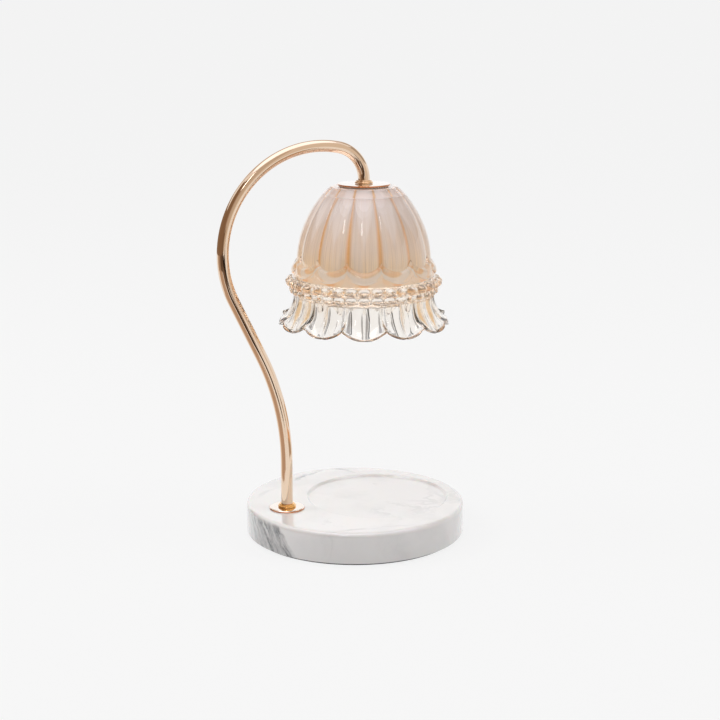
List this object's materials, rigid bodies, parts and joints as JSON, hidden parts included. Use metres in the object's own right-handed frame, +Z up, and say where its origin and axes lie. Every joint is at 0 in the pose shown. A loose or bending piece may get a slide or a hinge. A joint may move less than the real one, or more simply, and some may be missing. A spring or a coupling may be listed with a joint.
{
  "type": "candle warmer lamp",
  "caption": "Table lamp that warms a candle: round marble base with a seat, bent gold tube arm, pressed-glass bell shade with petal lobes and a clear fluted skirt.",
  "frame": {"origin": "centre of the flat underside that the lamp stands on", "axes": "+Z up; +X from the pole's foot towards the candle seat, in the plane of the bent arm; +Y to the back, where the lead goes in"},
  "size_m": [0.1729, 0.15, 0.2709],
  "materials": {
    "marble": "polished white marble with soft grey veins",
    "pad_foam": "matt anti-slip pad",
    "grommet_rubber": "matt black rubber",
    "lead_sheath": "satin off-white silicone sheath",
    "zinc_steel": "zinc-plated steel",
    "gold_plate": "polished rose-gold plating",
    "champagne_tube": "polished champagne-gold plating",
    "white_nylon": "natural nylon",
    "clear_silicone": "translucent silicone",
    "shade_glass": "clear pressed glass, pearl-coated inside the dome",
    "holder_ceramic": "unglazed white steatite",
    "contact_brass": "sprung brass",
    "bulb_ceramic": "glazed white lamp cap",
    "pin_metal": "nickel-plated pins",
    "reflector_mirror": "pressed glass with an aluminium mirror coat",
    "bulb_glass": "clear bulb glass"
  },
  "bodies": {
    "base": {"foot_pad": "pad_foam", "marble_base": "marble", "cord_grommet": "grommet_rubber", "lead_base": "lead_sheath", "pole_washer": "zinc_steel", "pole_flange": "gold_plate"},
    "arm": {"arm_tube": "champagne_tube", "foot_collar": "gold_plate", "foot_lock_washer": "zinc_steel", "foot_nut": "zinc_steel", "tube_bush_bottom": "white_nylon", "tube_bush_top": "white_nylon", "lead_arm": "lead_sheath", "head_collar": "gold_plate", "head_lock_washer": "zinc_steel", "head_nut": "zinc_steel"},
    "head": {"canopy_disc": "gold_plate", "gasket_upper": "clear_silicone", "glass_shade": "shade_glass", "gasket_lower": "clear_silicone", "clamp_disc": "zinc_steel", "holder_bracket": "zinc_steel", "lamp_holder": "holder_ceramic", "holder_screw_1": "zinc_steel", "holder_screw_2": "zinc_steel", "holder_contact_1": "contact_brass", "holder_contact_2": "contact_brass", "lead_core_1": "lead_sheath", "lead_core_2": "lead_sheath"},
    "bulb": {"bulb_base": "bulb_ceramic", "bulb_pin_1": "pin_metal", "bulb_pin_2": "pin_metal", "bulb_reflector": "reflector_mirror", "bulb_front_glass": "bulb_glass", "bulb_capsule": "bulb_glass"}
  },
  "joints": [
    {"name": "arm_swivel", "type": "hinge", "parent": "base", "child": "arm", "pos_m": [-0.0509, 0, 0.0238], "axis": [0, 0, 1], "range_deg": [-90, 90]},
    {"name": "head_swivel", "type": "hinge", "parent": "arm", "child": "head", "pos_m": [0.0065, 0, 0.2409], "axis": [0, 0, 1], "range_deg": [-90, 90]},
    {"name": "bulb_twist", "type": "hinge", "parent": "head", "child": "bulb", "pos_m": [0.0065, 0, 0.2077], "axis": [0, 0, -1], "range_deg": [0, 20]}
  ]
}
